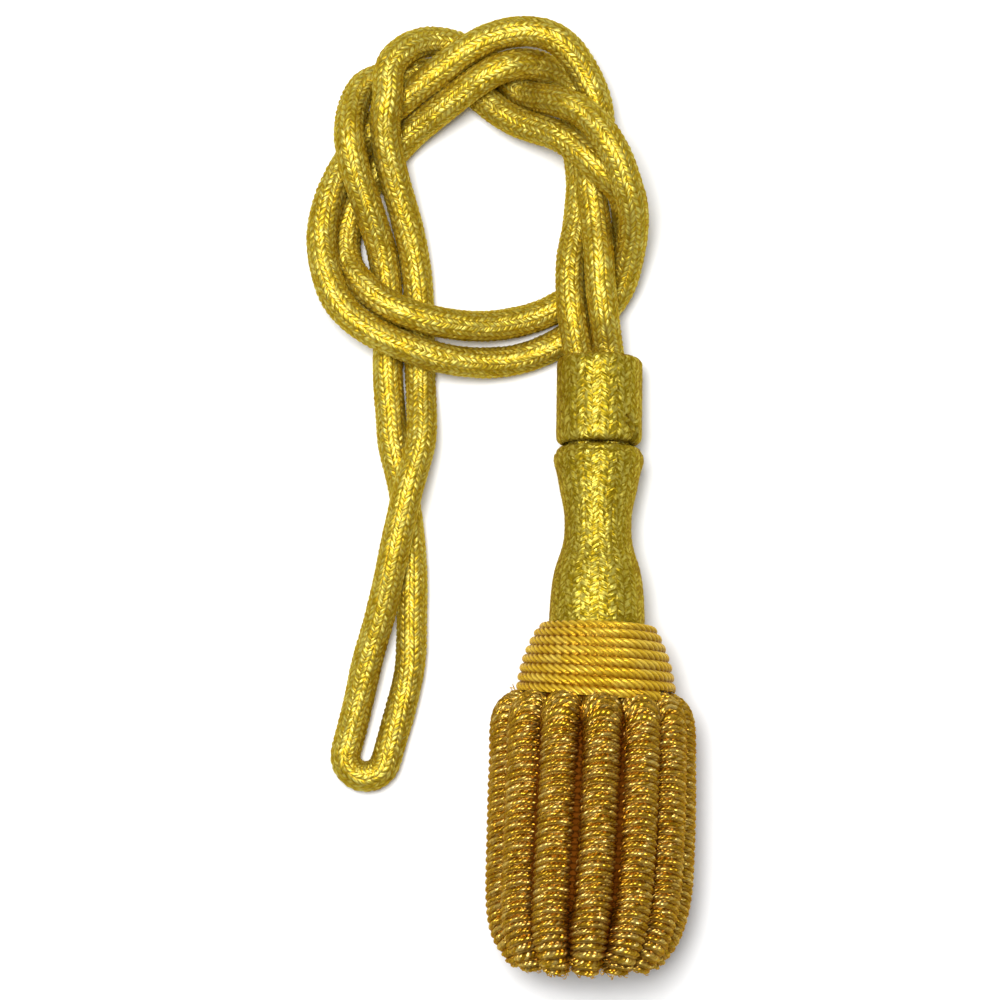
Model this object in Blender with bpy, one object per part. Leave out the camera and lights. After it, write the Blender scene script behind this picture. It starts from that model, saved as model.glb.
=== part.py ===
"""Bullion tassel of the dress-cord kind, lying on a level surface with its knotted cord loop beside it.

One round braided cord is folded double, tied in a loose double knot and drawn through a braided
slide into a waisted, braid-covered neck. A twisted silk rope is wound round the lower mould, and a
skirt of thick coiled bullions hangs from a heading under that rope.

Frame: metres, +Z up from the surface (z = 0), +Y along the tassel from its skirt to its slide, and
+X to the right when seen from above. The origin lies under the middle of the tassel without its cord.
Lengths in the tables are millimetres and are turned into metres by MM.
"""

import math

import bmesh
import bpy
import numpy as np
from mathutils import Vector

MM = 0.001

# The head: slide, neck and wound rope share one straight axis, which starts at the slide's mouth and
# rises towards the skirt. Stations are distances down that axis from the mouth.
MOUTH_X = 0.65
MOUTH_Y = 59.3
MOUTH_Z = 8.2
HEAD_TILT = math.radians(7.5)
FIT_GAP = 0.35  # between one sewn or fitted piece and the next

SLIDE_LENGTH = 17.3
SLIDE_RADIUS = 8.4
SLIDE_RIM = 1.1  # how far the rounded rims reach along the axis
SLIDE_RIM_DROP = 0.25  # how far the rims' outer corners are rounded in
SLIDE_RIM_FLARE = 0.15  # how far the bore's corners open at the rims
OUTER_CORNER = 0.3 * SLIDE_RIM  # distance of those corners from the slide's ends
BORE_CORNER = 0.2 * SLIDE_RIM
SLIDE_SIDES = 40
BORE_HALF_WIDTH = 6.75
BORE_HALF_HEIGHT = 3.35
BORE_SHIFT = -0.5  # the cords lean towards the slide's left wall

NECK_SIDES = 36
NECK_RINGS = 18
NECK_GAP = 0.65  # between the slide and the neck's top face
NECK_TOP = SLIDE_LENGTH + NECK_GAP
NECK_END = 51.7
NECK_PROFILE = (  # station, radius
    (NECK_TOP, 7.6),
    (18.9, 8.4),
    (22.6, 8.3),
    (26.5, 7.5),
    (30.6, 6.65),
    (33.6, 6.5),
    (37.3, 6.85),
    (41.3, 8.1),
    (46.6, 9.0),
    (NECK_END, 9.3),
)

BAND_TURNS = 8
BAND_ROWS_A_TURN = 5
BAND_SIDES = 48
BAND_TOP = NECK_END + FIT_GAP
BAND_END = 65.6
BAND_GROOVE = 0.6  # depth of the grooves between the turns
BAND_LEAN_SIDE = math.radians(1.2)  # the turns sink to the right
BAND_LEAN_OVER = math.radians(4.0)  # and over the top of the mould
BAND_PROFILE = (  # station, radius over the rope
    (BAND_TOP, 10.1),
    (53.3, 11.5),
    (55.9, 13.0),
    (59.4, 14.4),
    (61.3, 14.9),
    (63.8, 15.4),
    (BAND_END, 15.6),
)

BULLIONS = 13
BULLION_SIDES = 12
BULLION_END_STEPS = 3
BULLION_END_CUT = 0.35  # the domes stop short of their poles by this part of a step
BULLION_END_DROP = 0.3  # the domes follow the slope of the centre lines by this part
SKIRT_TWIST = math.radians(0.12)  # turn of the skirt for each millimetre along it
SKIRT_TRUE_Y = -54.0  # where one bullion lies exactly on top
SKIRT_HEIGHT = 16.9  # of the skirt's axis over the surface
# The bullions' centre lines run through rings round the skirt's axis. Each row is one ring: its middle,
# half width and half height, the bullion's radius there, and how far the ring leans, in degrees.
SKIRT_RINGS = (  # x, y, half_width, half_height, bullion_radius, lean
    (-0.1, -12.5, 16.5, 15.8, 3.45, 2.6),
    (0.0, -18.0, 16.65, 15.9, 3.45, 1.6),
    (0.0, -24.0, 16.75, 15.9, 3.45, 0.7),
    (0.0, -31.0, 16.8, 15.9, 3.45, 0.0),
    (-0.1, -39.0, 16.75, 15.9, 3.45, 0.0),
    (-0.3, -46.0, 16.45, 15.7, 3.45, 0.0),
    (-0.55, -50.5, 15.7, 15.2, 3.40, 0.0),
    (-0.65, -53.8, 14.6, 14.2, 3.15, 0.0),
    (-0.7, -56.2, 13.3, 13.0, 2.85, 0.0),
)
SHOULDER_BEND = 3.7  # radius of the centre line's bend from the heading into the skirt
SHOULDER_LEAN = 3.5
ROOT_REACH = 2.6  # how far a bullion reaches into the heading before its bend
SHOULDER_STEPS = (  # degrees round the bend, bullion_radius
    (0, 2.80),
    (30, 3.10),
    (60, 3.35),
)
HEADING_SIDES = 40
HEADING_RINGS = (  # y, radius of the hidden disc that the bullions are sewn to
    (-6.45, 12.2),
    (-9.0, 12.6),
    (-12.4, 11.6),
)

# The cord. Both strands run side by side along one route from the neck to the bight of the wrist
# loop. A row gives the middle of the pair, the distance from the left strand to the right one
# (negative where they have changed sides) and the height of each strand's centre line.
CORD_DIAMETER = 5.6
BIGHT_POINTS = 3
CORD_ROUTE = (  # x, y, apart, right_z, left_z
    (0.65, 42.0, 5.9, 10.5, 10.5),  # against the neck
    (-0.5, 59.5, 5.8, 8.4, 8.4),  # the slide's mouth
    (-1.9, 68.0, 6.0, 12.0, 10.0),
    (-2.6, 77.5, 5.5, 12.6, 7.7),  # over the bottom arc
    (-2.35, 86.0, 3.4, 9.7, 4.3),
    (-2.6, 94.0, 1.6, 8.7, 2.9),
    (-2.35, 104.0, 4.7, 8.7, 2.9),  # under the right side
    (-4.6, 113.75, 3.8, 10.0, 3.0),
    (-11.35, 119.5, 5.9, 11.6, 8.1),
    (-21.1, 118.5, 6.3, 11.6, 11.9),  # over the top left
    (-31.35, 111.75, 6.0, 9.2, 8.9),
    (-39.35, 105.5, 6.0, 6.1, 5.0),
    (-46.1, 98.0, 5.9, 4.4, 2.9),  # under the left leg
    (-51.35, 88.0, 4.8, 7.2, 2.9),
    (-51.85, 77.5, 4.4, 9.2, 4.8),
    (-47.6, 70.0, 6.1, 10.2, 8.4),
    (-38.35, 64.5, 6.2, 9.8, 10.2),  # over the left leg
    (-28.35, 62.0, 7.0, 7.6, 8.1),
    (-17.6, 62.25, 7.3, 4.3, 5.0),
    (-7.6, 66.0, 6.4, 2.9, 3.0),  # under the standing part
    (0.9, 72.75, 5.5, 5.7, 2.9),
    (5.65, 81.75, 1.4, 11.3, 3.8),
    (5.1, 91.0, 0.8, 18.7, 11.3),
    (1.1, 97.25, 3.8, 20.4, 15.1),  # over the standing part
    (-6.6, 105.0, 6.0, 16.3, 12.5),
    (-15.85, 108.75, 6.0, 5.8, 7.6),
    (-24.1, 115.25, 6.1, 2.9, 3.7),  # under the top arc
    (-32.85, 118.5, 6.1, 6.0, 2.9),
    (-39.6, 116.4, 2.9, 10.6, 2.9),  # the strands change sides
    (-44.8, 109.9, -6.3, 12.7, 6.8),
    (-45.6, 101.0, -7.1, 10.7, 12.0),  # over the top arc
    (-42.85, 90.5, -6.6, 7.4, 9.1),
    (-39.6, 79.5, -6.1, 4.5, 4.1),
    (-38.35, 67.5, -6.2, 3.0, 2.9),  # under the bottom arc
    (-38.1, 55.5, -6.4, 3.0, 2.9),
    (-37.35, 44.5, -6.1, 6.3, 2.9),
    (-37.35, 32.5, -1.0, 9.1, 2.9),  # the strands change sides again
    (-37.7, 21.0, 3.0, 8.5, 2.9),
    (-38.8, 8.0, 6.1, 6.5, 2.9),
    (-40.6, -4.0, 8.6, 4.5, 2.9),
    (-44.5, -20.4, 8.2, 2.9, 2.9),  # the wrist loop's bight starts
)

# Colour, roughness and metallic value of each piece's material.
FINISHES = {
    "cord": ((0.62, 0.42, 0.03, 1.0), 0.36, 0.75),
    "slide": ((0.58, 0.38, 0.03, 1.0), 0.40, 0.70),
    "neck": ((0.56, 0.37, 0.03, 1.0), 0.40, 0.70),
    "rope_band": ((0.84, 0.50, 0.03, 1.0), 0.50, 0.0),
    "bullion_fringe": ((0.52, 0.29, 0.03, 1.0), 0.36, 0.75),
}


def natural_curve(knots, values):
    """The smooth curve of least bending through values at knots, as a function."""
    count, steps = len(knots), np.diff(knots)
    matrix, right = np.eye(count), np.zeros(count)
    for i in range(1, count - 1):
        matrix[i, i - 1 : i + 2] = steps[i - 1], 2 * (steps[i - 1] + steps[i]), steps[i]
        right[i] = 6 * (
            (values[i + 1] - values[i]) / steps[i] - (values[i] - values[i - 1]) / steps[i - 1]
        )
    bends = np.linalg.solve(matrix, right)

    def curve(at):
        i = np.clip(np.searchsorted(knots, at, side="right") - 1, 0, count - 2)
        before, after = (knots[i + 1] - at) / steps[i], (at - knots[i]) / steps[i]
        sway = (before**3 - before) * bends[i] + (after**3 - after) * bends[i + 1]
        return before * values[i] + after * values[i + 1] + sway * steps[i] ** 2 / 6

    return curve


def monotone_curve(knots, values):
    """A smooth curve through values at knots that never swings past them, as a function."""
    steps = np.diff(knots)
    rises = np.diff(values) / steps
    slopes = np.zeros(len(knots))
    for i in range(1, len(knots) - 1):
        if rises[i - 1] * rises[i] > 0:
            near, far = 2 * steps[i] + steps[i - 1], steps[i] + 2 * steps[i - 1]
            slopes[i] = (near + far) / (near / rises[i - 1] + far / rises[i])

    def curve(at):
        i = np.clip(np.searchsorted(knots, at, side="right") - 1, 0, len(knots) - 2)
        step = steps[i]
        part = (at - knots[i]) / step
        rest = 1 - part
        return (
            (1 + 2 * part) * rest**2 * values[i]
            + part * rest**2 * step * slopes[i]
            + part**2 * (3 - 2 * part) * values[i + 1]
            - part**2 * rest * step * slopes[i + 1]
        )

    return curve


def unit(vectors):
    return vectors / np.linalg.norm(vectors, axis=-1, keepdims=True)


def finish(obj):
    """Gives the object its own material."""
    colour, roughness, metallic = FINISHES[obj.name]
    material = bpy.data.materials.new(obj.name)
    material.diffuse_color = colour
    material.use_nodes = True
    shader = material.node_tree.nodes["Principled BSDF"]
    shader.inputs["Base Color"].default_value = colour
    shader.inputs["Roughness"].default_value = roughness
    shader.inputs["Metallic"].default_value = metallic
    obj.data.materials.append(material)
    return obj


def loft(name, rings, closed=False):
    """One closed body through rings of points in millimetres: a capped tube, or a closed loop of rings."""
    rings = np.asarray(rings, float) * MM
    count, sides = rings.shape[:2]
    body = bmesh.new()
    loops = [[body.verts.new(point) for point in ring] for ring in rings]
    following = loops[1:] + loops[:1] if closed else loops[1:]
    for ring, after in zip(loops, following):
        for i in range(sides):
            k = (i + 1) % sides
            body.faces.new((ring[i], ring[k], after[k], after[i]))
    if not closed:
        body.faces.new(loops[0])
        body.faces.new(loops[-1])
    bmesh.ops.recalc_face_normals(body, faces=body.faces)
    mesh = bpy.data.meshes.new(name)
    body.to_mesh(mesh)
    body.free()
    mesh.shade_smooth()
    mesh.set_sharp_from_angle(angle=math.radians(50))
    obj = bpy.data.objects.new(name, mesh)
    bpy.context.collection.objects.link(obj)
    return obj


def add_head_axis():
    """An empty at the slide's mouth: its -Z runs down the head, and its -Y points up from the surface."""
    axis = bpy.data.objects.new("head_axis", None)
    axis.location = Vector((MOUTH_X, MOUTH_Y, MOUTH_Z)) * MM
    axis.rotation_euler = (-math.pi / 2 - HEAD_TILT, 0, 0)
    bpy.context.collection.objects.link(axis)
    return axis


def turned_ring(station, radius, sides):
    """Points round the head's axis; the first lies on top, and they run towards +X."""
    angles = np.arange(sides) * 2 * math.pi / sides
    return np.stack(
        [radius * np.sin(angles), -radius * np.cos(angles), np.full(sides, -station)], axis=1
    )


def bore_ring(station, spare=0.0):
    """A slot with round ends that holds the two cords, seen from the slide's mouth."""
    angles = np.arange(SLIDE_SIDES) * 2 * math.pi / SLIDE_SIDES
    across, up = np.sin(angles), np.cos(angles)
    height = BORE_HALF_HEIGHT + spare
    straight = BORE_HALF_WIDTH + spare - height
    to_flat = height / np.maximum(np.abs(up), 1e-9)
    to_end = straight * np.abs(across) + np.sqrt(np.maximum(height**2 - (straight * up) ** 2, 0))
    reach = np.where(to_flat * np.abs(across) <= straight, to_flat, to_end)
    return np.stack(
        [reach * across + BORE_SHIFT, -reach * up, np.full(SLIDE_SIDES, -station)], axis=1
    )


def add_slide(axis):
    end = SLIDE_LENGTH
    outer = [
        turned_ring(OUTER_CORNER, SLIDE_RADIUS - SLIDE_RIM_DROP, SLIDE_SIDES),
        turned_ring(SLIDE_RIM, SLIDE_RADIUS, SLIDE_SIDES),
        turned_ring(end / 2, SLIDE_RADIUS, SLIDE_SIDES),
        turned_ring(end - SLIDE_RIM, SLIDE_RADIUS, SLIDE_SIDES),
        turned_ring(end - OUTER_CORNER, SLIDE_RADIUS - SLIDE_RIM_DROP, SLIDE_SIDES),
    ]
    inner = [
        bore_ring(end - BORE_CORNER, SLIDE_RIM_FLARE),
        bore_ring(end - SLIDE_RIM),
        bore_ring(SLIDE_RIM),
        bore_ring(BORE_CORNER, SLIDE_RIM_FLARE),
    ]
    rim_end = (outer[-1] + inner[0]) / 2
    rim_end[:, 2] = -end
    rim_mouth = (outer[0] + inner[-1]) / 2
    rim_mouth[:, 2] = 0
    slide = loft("slide", outer + [rim_end] + inner + [rim_mouth], closed=True)
    slide.parent = axis
    return finish(slide)


def add_neck(axis):
    stations, radii = np.array(NECK_PROFILE).T
    radius_at = natural_curve(stations, radii)
    first, second = stations[:2]
    steps = np.concatenate([[first], np.linspace(second, stations[-1], NECK_RINGS - 1)])
    rings = [turned_ring(s, radius_at(s), NECK_SIDES) for s in steps]
    neck = loft("neck", rings)
    neck.parent = axis
    return finish(neck)


def add_rope_band(axis):
    """The wound rope as one body, its turns raised as one long helical ridge."""
    stations, radii = np.array(BAND_PROFILE).T
    slant = np.concatenate([[0], np.cumsum(np.hypot(np.diff(stations), np.diff(radii)))])
    slant = slant / slant[-1]
    station_at, radius_at = natural_curve(slant, stations), natural_curve(slant, radii)
    angles = np.arange(BAND_SIDES) * 2 * math.pi / BAND_SIDES
    step = 1e-3
    rings = []
    for part in np.linspace(0, 1, BAND_TURNS * BAND_ROWS_A_TURN + 1):
        station, radius = station_at(part), radius_at(part)
        along = station_at(part + step) - station_at(part - step)
        out = radius_at(part + step) - radius_at(part - step)
        length = math.hypot(along, out)
        across_turn = (BAND_TURNS * part - angles / (2 * math.pi)) % 1 * 2 - 1
        depth = BAND_GROOVE * (1 - np.sqrt(1 - across_turn**2))
        round_axis = radius - depth * along / length
        lean = math.tan(BAND_LEAN_SIDE) * np.sin(angles) + math.tan(BAND_LEAN_OVER) * np.cos(angles)
        down = station + depth * out / length + part * round_axis * lean
        rings.append(
            np.stack([round_axis * np.sin(angles), -round_axis * np.cos(angles), -down], axis=1)
        )
    band = loft("rope_band", rings)
    band.parent = axis
    return finish(band)


def bullion_line(angle):
    """Centre points and radii of one bullion, which lies at this angle from the top of the skirt."""
    x, y, half_width, half_height, radius, lean = np.array(SKIRT_RINGS).T
    turn = angle + SKIRT_TWIST * (y - SKIRT_TRUE_Y)
    body = np.stack([x + half_width * np.sin(turn), y, half_height * np.cos(turn)], axis=1)
    # A bullion that reaches the surface rests on one of its flat sides.
    resting = radius * math.cos(math.pi / BULLION_SIDES) - SKIRT_HEIGHT
    body[:, 2] = np.maximum(body[:, 2], resting)
    out = np.array([math.sin(turn[0]), 0, math.cos(turn[0])])
    bend, thin = np.array(SHOULDER_STEPS).T
    bend = np.radians(bend)[:, None]
    shoulder = body[0] + SHOULDER_BEND * ((np.sin(bend) - 1) * out + np.cos(bend) * (0, 1, 0))
    root = shoulder[0] - ROOT_REACH * out
    points = np.concatenate([[root], shoulder, body])
    lean = np.radians(np.concatenate([np.full(len(bend) + 1, SHOULDER_LEAN), lean]))
    points[:, 1] += points[:, 2] * np.sin(lean)
    points[:, 2] += SKIRT_HEIGHT
    return points, np.concatenate([[thin[0]], thin, radius])


def bullion_rings(angle):
    """The rings of one bullion from its root in the heading to the dome at its free end."""
    centres, radius = bullion_line(angle)
    way = unit(np.gradient(centres, axis=0))
    steps = np.arange(1, BULLION_END_STEPS + 1)
    dome = steps / (BULLION_END_STEPS + BULLION_END_CUT) * math.pi / 2
    tip, ahead, last = centres[-1], way[-1] * (1, 1, BULLION_END_DROP), radius[-1]
    centres = np.concatenate([centres, tip + ahead * np.sin(dome)[:, None] * last])
    way = np.concatenate([way, np.repeat(way[-1:], BULLION_END_STEPS, axis=0)])
    radius = np.concatenate([radius, last * np.cos(dome)])
    # Frames are carried from the level middle of the bullion to both ends without twist.
    middle = len(centres) // 2
    up = np.zeros_like(centres)
    up[middle] = (0, 0, 1)
    for i in list(range(middle, -1, -1)) + list(range(middle + 1, len(centres))):
        beside = middle if i == middle else i + 1 if i < middle else i - 1
        up[i] = unit(up[beside] - way[i] * (up[beside] @ way[i]))
    side = np.cross(way, up)
    around = (np.arange(BULLION_SIDES) + 0.5)[:, None] * 2 * math.pi / BULLION_SIDES
    rings = []
    for i in range(len(centres)):
        ring = centres[i] + radius[i] * (np.cos(around) * up[i] + np.sin(around) * side[i])
        ring[:, 2] = np.maximum(ring[:, 2], 0)
        rings.append(ring)
    return rings


def heading_ring(y, radius):
    """A ring of the hidden heading, which leans with the roots."""
    lean = math.radians(SHOULDER_LEAN)
    angles = np.arange(HEADING_SIDES) * 2 * math.pi / HEADING_SIDES
    lift = radius * np.cos(angles)
    return np.stack([radius * np.sin(angles), y + lift * math.sin(lean), SKIRT_HEIGHT + lift], axis=1)


def add_bullion_fringe():
    """Thirteen bullions, apart but for their roots, which are fused into the heading."""
    fringe = loft("bullion_fringe", [heading_ring(*row) for row in HEADING_RINGS])
    for number in range(BULLIONS):
        angle = number * 2 * math.pi / BULLIONS
        bullion = loft(f"bullion_{number}", bullion_rings(angle))
        bullion.hide_render = True
        bullion.display_type = "WIRE"
        fuse = fringe.modifiers.new(f"fuse_{number}", "BOOLEAN")
        fuse.operation = "UNION"
        fuse.object = bullion
    return finish(fringe)


def strand_paths():
    """The centre lines of the right and the left strand at each row of the route."""
    rows = np.array(CORD_ROUTE)
    run = np.hypot(*np.diff(rows[:, :2], axis=0).T)
    knots = np.concatenate([[0], np.cumsum(run)])
    x_at, y_at = natural_curve(knots, rows[:, 0]), natural_curve(knots, rows[:, 1])
    step = 0.01
    ahead = np.stack(
        [x_at(knots + step) - x_at(knots - step), y_at(knots + step) - y_at(knots - step)], axis=1
    )
    ahead = unit(ahead)
    right = np.stack([ahead[:, 1], -ahead[:, 0]], axis=1) * rows[:, 2:3] / 2
    middle = rows[:, :2]
    return (
        np.column_stack([middle + right, rows[:, 3]]),
        np.column_stack([middle - right, rows[:, 4]]),
    )


def cord_path():
    """The whole cord: out along the right strand, round the bight, and back along the left strand."""
    right, left = strand_paths()
    middle, half = (right[-1] + left[-1]) / 2, (right[-1] - left[-1]) / 2
    onward = unit(middle - (right[-2] + left[-2]) / 2) * (1, 1, 0)
    onward = unit(onward - half * (onward @ half) / (half @ half)) * np.linalg.norm(half)
    bight = [
        middle + half * math.cos(angle) + onward * math.sin(angle)
        for angle in np.linspace(0, math.pi, BIGHT_POINTS + 2)[1:-1]
    ]
    return np.concatenate([right, bight, left[::-1]])


def add_cord():
    data = bpy.data.curves.new("cord", "CURVE")
    data.dimensions = "3D"
    data.bevel_depth = CORD_DIAMETER / 2 * MM
    data.bevel_resolution = 4
    data.use_fill_caps = True
    path = cord_path() * MM
    spline = data.splines.new("POLY")
    spline.points.add(len(path) - 1)
    for point, place in zip(spline.points, path):
        point.co = (*place, 1)
    cord = bpy.data.objects.new("cord", data)
    bpy.context.collection.objects.link(cord)
    return finish(cord)


def main():
    for obj in list(bpy.data.objects):
        bpy.data.objects.remove(obj, do_unlink=True)
    axis = add_head_axis()
    add_slide(axis)
    add_neck(axis)
    add_rope_band(axis)
    add_bullion_fringe()
    add_cord()


main()
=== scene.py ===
"""Looks of the bullion tassel: braided cord, slide and neck, wound silk rope and coiled bullions.

Everything is in metres, in the frame of the solids. The head's axis starts at the slide's mouth and
runs down to the skirt. A station is a distance along it, and an angle round it is 0 at the top and
grows towards +X.
"""

import math

import bpy
import numpy as np
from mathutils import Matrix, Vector


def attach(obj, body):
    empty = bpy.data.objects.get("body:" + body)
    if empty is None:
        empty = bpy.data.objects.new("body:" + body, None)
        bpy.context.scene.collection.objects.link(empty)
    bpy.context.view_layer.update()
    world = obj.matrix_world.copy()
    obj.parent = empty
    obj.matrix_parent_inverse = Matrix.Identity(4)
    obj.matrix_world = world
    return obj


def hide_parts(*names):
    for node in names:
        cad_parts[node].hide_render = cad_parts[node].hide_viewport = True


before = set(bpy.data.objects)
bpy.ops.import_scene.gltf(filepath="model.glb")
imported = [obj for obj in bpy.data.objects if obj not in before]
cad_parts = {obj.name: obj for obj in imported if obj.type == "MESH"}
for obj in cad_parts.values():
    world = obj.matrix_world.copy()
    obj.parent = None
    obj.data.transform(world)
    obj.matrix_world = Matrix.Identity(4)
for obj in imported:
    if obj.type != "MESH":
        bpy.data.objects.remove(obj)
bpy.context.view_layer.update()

FULL_TURN = 2 * math.pi

# ---------------------------- places and sizes of the solids, but for two that are marked
MOUTH = np.array([0.00065, 0.0593, 0.0082])
HEAD_TILT = math.radians(7.5)
SLIDE_LENGTH = 0.0173
SLIDE_RADIUS = 0.0084
BORE_HALF_WIDTH = 0.00675
BORE_HALF_HEIGHT = 0.00335
BORE_SHIFT = -0.0005
NECK_PROFILE = (  # station, radius
    (0.01795, 0.0076),
    (0.0189, 0.0084),
    (0.0226, 0.0083),
    (0.0265, 0.0075),
    (0.0306, 0.00665),
    (0.0336, 0.0065),
    (0.0373, 0.00685),
    (0.0413, 0.0081),
    (0.0466, 0.0090),
    (0.0517, 0.0093),
)
BAND_TURNS = 8
BAND_PROFILE = (  # station, radius over the rope
    (0.05205, 0.0101),
    (0.0533, 0.0115),
    (0.0559, 0.0130),
    (0.0594, 0.0144),
    (0.0613, 0.0149),
    (0.0638, 0.0154),
    (0.0656, 0.0156),
    (0.0671, 0.0157),  # 1.5 mm past the solid's end
)
BAND_LEAN_SIDE = math.radians(2.2)  # the solid's turns lean 1.2 degrees
BAND_LEAN_OVER = math.radians(4.0)
BULLIONS = 13
SKIRT_TWIST = math.radians(120)  # a metre
SKIRT_TRUE_Y = -0.054
SKIRT_HEIGHT = 0.0169
BULLION_SIDES = 12  # of a bullion's solid, which rests on one of them
SKIRT_RINGS = (  # x, y, half_width, half_height, bullion_radius, lean in degrees
    (-0.0001, -0.0125, 0.0165, 0.0158, 0.00345, 2.6),
    (0.0, -0.018, 0.01665, 0.0159, 0.00345, 1.6),
    (0.0, -0.024, 0.01675, 0.0159, 0.00345, 0.7),
    (0.0, -0.031, 0.0168, 0.0159, 0.00345, 0.0),
    (-0.0001, -0.039, 0.01675, 0.0159, 0.00345, 0.0),
    (-0.0003, -0.046, 0.01645, 0.0157, 0.00345, 0.0),
    (-0.00055, -0.0505, 0.0157, 0.0152, 0.0034, 0.0),
    (-0.00065, -0.0538, 0.0146, 0.0142, 0.00315, 0.0),
    (-0.0007, -0.0562, 0.0133, 0.0130, 0.00285, 0.0),
)
SHOULDER_BEND = 0.0037
SHOULDER_LEAN = 3.5  # degrees
ROOT_REACH = 0.0026
# degrees round the bend, bullion_radius
SHOULDER_STEPS = ((0, 0.0028), (30, 0.0031), (60, 0.00335))

# The cord's route, as in the part's source. It wasn't chosen by hand: a clearance search worked out
# most of its heights and some of its places and widths, so moving one row may make strands overlap.
CORD_ROUTE = (  # x, y, apart, right_z, left_z
    (0.00065, 0.042, 0.0059, 0.0105, 0.0105),
    (-0.0005, 0.0595, 0.0058, 0.0084, 0.0084),
    (-0.0019, 0.068, 0.006, 0.012, 0.01),
    (-0.0026, 0.0775, 0.0055, 0.0126, 0.0077),
    (-0.00235, 0.086, 0.0034, 0.0097, 0.0043),
    (-0.0026, 0.094, 0.0016, 0.0087, 0.0029),
    (-0.00235, 0.104, 0.0047, 0.0087, 0.0029),
    (-0.0046, 0.11375, 0.0038, 0.01, 0.003),
    (-0.01135, 0.1195, 0.0059, 0.0116, 0.0081),
    (-0.0211, 0.1185, 0.0063, 0.0116, 0.0119),
    (-0.03135, 0.11175, 0.006, 0.0092, 0.0089),
    (-0.03935, 0.1055, 0.006, 0.0061, 0.005),
    (-0.0461, 0.098, 0.0059, 0.0044, 0.0029),
    (-0.05135, 0.088, 0.0048, 0.0072, 0.0029),
    (-0.05185, 0.0775, 0.0044, 0.0092, 0.0048),
    (-0.0476, 0.07, 0.0061, 0.0102, 0.0084),
    (-0.03835, 0.0645, 0.0062, 0.0098, 0.0102),
    (-0.02835, 0.062, 0.007, 0.0076, 0.0081),
    (-0.0176, 0.06225, 0.0073, 0.0043, 0.005),
    (-0.0076, 0.066, 0.0064, 0.0029, 0.003),
    (0.0009, 0.07275, 0.0055, 0.0057, 0.0029),
    (0.00565, 0.08175, 0.0014, 0.0113, 0.0038),
    (0.0051, 0.091, 0.0008, 0.0187, 0.0113),
    (0.0011, 0.09725, 0.0038, 0.0204, 0.0151),
    (-0.0066, 0.105, 0.006, 0.0163, 0.0125),
    (-0.01585, 0.10875, 0.006, 0.0058, 0.0076),
    (-0.0241, 0.11525, 0.0061, 0.0029, 0.0037),
    (-0.03285, 0.1185, 0.0061, 0.006, 0.0029),
    (-0.0396, 0.1164, 0.0029, 0.0106, 0.0029),
    (-0.0448, 0.1099, -0.0063, 0.0127, 0.0068),
    (-0.0456, 0.101, -0.0071, 0.0107, 0.012),
    (-0.04285, 0.0905, -0.0066, 0.0074, 0.0091),
    (-0.0396, 0.0795, -0.0061, 0.0045, 0.0041),
    (-0.03835, 0.0675, -0.0062, 0.003, 0.0029),
    (-0.0381, 0.0555, -0.0064, 0.003, 0.0029),
    (-0.03735, 0.0445, -0.0061, 0.0063, 0.0029),
    (-0.03735, 0.0325, -0.001, 0.0091, 0.0029),
    (-0.0377, 0.021, 0.003, 0.0085, 0.0029),
    (-0.0388, 0.008, 0.0061, 0.0065, 0.0029),
    (-0.0406, -0.004, 0.0086, 0.0045, 0.0029),
    (-0.0445, -0.0204, 0.0082, 0.0029, 0.0029),
)

# ---------------------------- sizes of the thread work
CORD_RADIUS = 0.00293  # to the middle of the stitches' relief
CORD_COLUMNS = 16  # columns of stitches round the cord
CORD_PITCH = 0.0012  # from one stitch to the next along a column
CORD_RELIEF = 0.00026
CORD_STRAY = 0.00004  # how far its points stray from the even braid
CORD_UNEVEN = 0.00004  # how far its radius swells and shrinks
CORD_UNEVEN_WAVES = (0.013, 0.031)
CORD_TWIST = 0.5  # radians that the braid turns to and fro along the cord
CORD_TWIST_WAVES = (0.11, 0.067, 0.19)
RELIEF_MIDDLE = 0.4  # the height of a braid's relief that lies on its named radius
SLEEVE_COLUMNS = 32  # round the slide and the neck
SLIDE_PITCH = 0.00176
NECK_PITCH = 0.00145
SLIDE_SEED, NECK_SEED = 11, 12
SLEEVE_RELIEF = 0.00011
SLEEVE_STRAY = 0.00002
SLEEVE_LEVEL = 0.002  # over this length its zigzag dies out, so that the rims are level
SLEEVE_RIM_RELIEF = 0.4  # the part of its relief that is left at the rims
CORD_CLIMB = 0.85  # how far a stitch climbs across its column, in pitches
SLEEVE_CLIMB = 0.6
ROPE_LEAD = 0.0063  # one full twist of the silk rope's four plies
ROPE_START = math.radians(-110)  # angle at which the winding starts, at its top
ROPE_END = math.radians(52)  # and ends, at its foot
ROPE_PLIES = 4
ROPE_PLY = 0.225  # a ply's radius, in pitches of the winding
ROPE_FLOOR = 0.2  # the lowest that its skin lies between two turns, in rope radii
COIL_RADIUS = 0.0038  # a bullion over its threads, where the solid's is 3.45 mm
COIL_PITCH = 0.00142  # one turn of a bullion's coil
COIL_PITCH_RANGE = (0.98, 1.02)  # from bullion to bullion
COIL_SLACK = 0.05  # how far single turns lie off their places, in pitches
COIL_SEED = 100
COIL_SINK = 0.33  # how far the middles of the coil's cords lie inside its radius, in pitches
COIL_CROWN = 0.14  # how far the middle of a turn stands out, in pitches
COIL_THICK_SHARE = 0.66  # the thick cord's part of a turn; the thin cord has the rest
COIL_LUMP = 0.00095  # one lump of the coil's cords, along them
COIL_LUMP_RISE = 0.00008  # how far a lump stands out, and the skin sinks between two
COIL_ROWS = 8  # points across one turn
THIN_LUMPS_START = 37.4  # keeps the thin cord's threads unlike the thick cord's, in lumps
COIL_SLANT = 0.65  # how far a lump slants over one half of its cord, in lumps
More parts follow.
